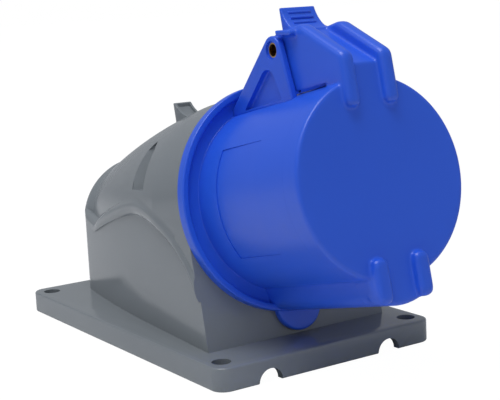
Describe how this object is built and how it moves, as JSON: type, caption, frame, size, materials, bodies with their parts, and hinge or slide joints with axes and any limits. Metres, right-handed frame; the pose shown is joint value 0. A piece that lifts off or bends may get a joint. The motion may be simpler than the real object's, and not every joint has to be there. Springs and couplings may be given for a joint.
{
  "type": "industrial wall socket",
  "caption": "Surface-mounted industrial socket: a grey hood on a screw-down plate carries a tilted round socket front with a sprung, hinged lid.",
  "frame": {"origin": "centre of the mounting plate, on the plane of its back face, which lies on the wall", "axes": "+Z out of the wall; the socket faces -Y, tilted 12.5 degrees away from the wall; +X across the socket"},
  "size_m": [0.089, 0.1824, 0.1186],
  "materials": {
    "housing_grey": "fine satin moulding",
    "socket_blue": "satin moulding",
    "carrier_grey": "moulded thermoset",
    "rubber": "soft moulded seal",
    "brass": "turned",
    "steel": "zinc plated"
  },
  "bodies": {
    "base": {"housing": "housing_grey", "socket_front": "socket_blue", "hinge_pin": "brass", "lid_spring": "steel", "front_gasket": "rubber", "contact_carrier": "carrier_grey", "contact_sleeve_line": "brass", "terminal_screw_line": "steel", "contact_sleeve_neutral": "brass", "terminal_screw_neutral": "steel", "contact_sleeve_earth": "brass", "terminal_screw_earth": "steel", "carrier_retainer": "carrier_grey", "retainer_screw": "steel", "carrier_screw_left": "steel", "carrier_screw_right": "steel", "front_fixing_screw": "steel", "cable_entry_plug": "rubber"},
    "lid": {"lid": "socket_blue", "lid_gasket": "rubber"}
  },
  "joints": [
    {"name": "lid_hinge", "type": "hinge", "parent": "base", "child": "lid", "pos_m": [0, -0.06214, 0.10547], "axis": [-1, 0, 0], "range_deg": [0, 100], "stiffness_Nm_per_rad": 0.02, "springref_deg": -57.3}
  ]
}
